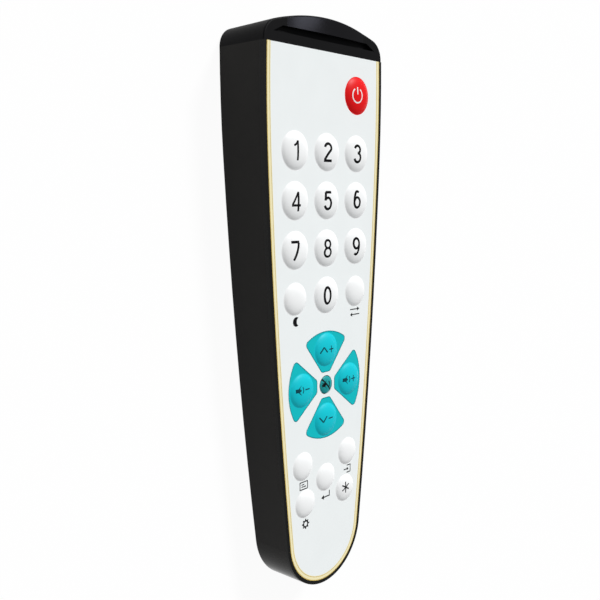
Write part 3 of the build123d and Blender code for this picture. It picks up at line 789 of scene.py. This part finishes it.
for digit in range(10):
    name = "key_%d" % digit
    x, y, radius = KEYS[name]
    mark("digit_%d" % digit, reshaped(FIGURES[digit], FIGURE_WIDTH, 1), x, y, "ink_dark", name,
         radius, FIGURE_SHIFTS.get(digit, FIGURE_SHIFT))

for name, (strips, ink, shift) in SYMBOLS.items():
    x, y, radius = KEYS[name]
    mark(name.replace("key_", "symbol_"), strips, x, y, ink, name, radius, shift,
         stiff=name in STIFF_KEYS)

for name, (strips, x, y) in LABELS.items():
    mark(name, strips, x, ROW_ONE + y, "ink_dark", "housing", proud=LABEL_INK)

for name, (outer, inner) in BORDER_LINES.items():
    edge_line(name, outer, inner)

for quarter in range(4):
    c, s = round(cos(pi * quarter / 2)), round(sin(pi * quarter / 2))
    rims = [
        [(x * c - y * s, x * s + y * c) for x, y in pad_outline(inset)] for inset in (0.0, PAD_EDGE)
    ]
    mark("pad_edge_%d" % quarter, [rims], 0, NAV_Y, "pad_edge", "housing", proud=LINE_INK)


# Stage, light and camera
def make_floor():
    """Pale floor that takes the shadow, and looks white to the camera, glossy and clear things."""
    material = bpy.data.materials.new("floor")
    n = Nodes(material)
    path = n.add("ShaderNodeLightPath")
    seen = n.math("MAXIMUM", path.outputs["Is Camera Ray"], path.outputs["Is Glossy Ray"])
    seen = n.math("MAXIMUM", seen, path.outputs["Is Transmission Ray"])
    share = n.math("MULTIPLY", seen, FLOOR_GLOW_SHARE)
    place = n.add("ShaderNodeTexCoord")
    noise = n.add("ShaderNodeTexNoise", {
        "Vector": place.outputs["Object"], "Scale": FLOOR_MOTTLE,
    })
    ramp = n.add("ShaderNodeValToRGB", {"Fac": noise.outputs["Fac"]})
    for element, grey in zip(ramp.color_ramp.elements, FLOOR_GREYS):
        element.color = rgba((grey, grey, grey))
    diffuse = n.add("ShaderNodeBsdfDiffuse", {"Color": ramp.outputs[0]})
    glow = n.add("ShaderNodeEmission", {"Color": WHITE, "Strength": 1.0})
    mix = n.add("ShaderNodeMixShader", {0: share, 1: diffuse.outputs[0], 2: glow.outputs[0]})
    n.add("ShaderNodeOutputMaterial", {"Surface": mix.outputs[0]})
    corners = [
        (x * FLOOR_HALF, y * FLOOR_HALF, -FLOOR_DROP)
        for x, y in ((-1, -1), (1, -1), (1, 1), (-1, 1))
    ]
    floor = new_piece("floor", corners, [(0, 1, 2, 3)], material, smooth=False)


def make_world():
    """Soft light from all round, behind a background that the camera sees as white."""
    world = bpy.data.worlds.new("studio")
    bpy.context.scene.world = world
    n = Nodes(world)
    path = n.add("ShaderNodeLightPath")
    seen = n.math("MAXIMUM", path.outputs["Is Camera Ray"], path.outputs["Is Transmission Ray"])
    soft = n.add("ShaderNodeBackground", {
        "Color": rgba(WORLD_COLOUR), "Strength": WORLD_STRENGTH,
    })
    white = n.add("ShaderNodeBackground", {"Color": WHITE, "Strength": 1.0})
    mix = n.add("ShaderNodeMixShader", {0: seen, 1: soft.outputs[0], 2: white.outputs[0]})
    n.add("ShaderNodeOutputWorld", {"Surface": mix.outputs[0]})


def turn_object(made, turn):
    made.rotation_mode = "QUATERNION"
    made.rotation_quaternion = turn


def soft_sun(name, toward, spread, strength):
    """Sun in the direction toward, as wide in the sky as spread."""
    data = bpy.data.lights.new(name, "SUN")
    data.angle = radians(spread)
    data.energy = strength
    turn_object(add_object(name, data), (-Vector(toward)).to_track_quat("-Z", "Y"))


def soft_box(name, place, aim, size, power, colour):
    """Rectangular lamp that faces aim. Places and size are in metres, power is in watts."""
    data = bpy.data.lights.new(name, "AREA")
    data.shape = "RECTANGLE"
    data.size, data.size_y = size
    data.energy = power
    data.color = colour
    lamp = add_object(name, data)
    lamp.location = place
    turn_object(lamp, (Vector(aim) - Vector(place)).to_track_quat("-Z", "Y"))


def make_camera():
    data = bpy.data.cameras.new("camera")
    data.sensor_width = SENSOR_WIDTH
    data.lens = LENS
    data.shift_x, data.shift_y = CAMERA_SHIFT
    data.clip_start, data.clip_end = NEAR, FAR
    camera = add_object("camera", data)
    camera.location = deck_point(*CAMERA_PLACE)
    forward = deck_turn(CAMERA_FORWARD).normalized()
    right = forward.cross(deck_turn(CAMERA_UP)).normalized()
    up = right.cross(forward)
    turn_object(camera, Matrix((right, up, -forward)).transposed().to_quaternion())
    bpy.context.scene.camera = camera


make_floor()
make_world()
make_camera()
soft_sun("key_light", toward=(0.50, 0.86, 0.85), spread=13.0, strength=3.5)
# Its reflection is the pale patch on the window over the emitters
soft_box("window_light", place=(0.588, 0.300, 0.670), aim=(0, 0.1, 0.02), size=(0.08, 0.12),
         power=0.085, colour=(0.80, 0.82, 1.0))

bpy.context.scene.view_settings.view_transform = "Standard"
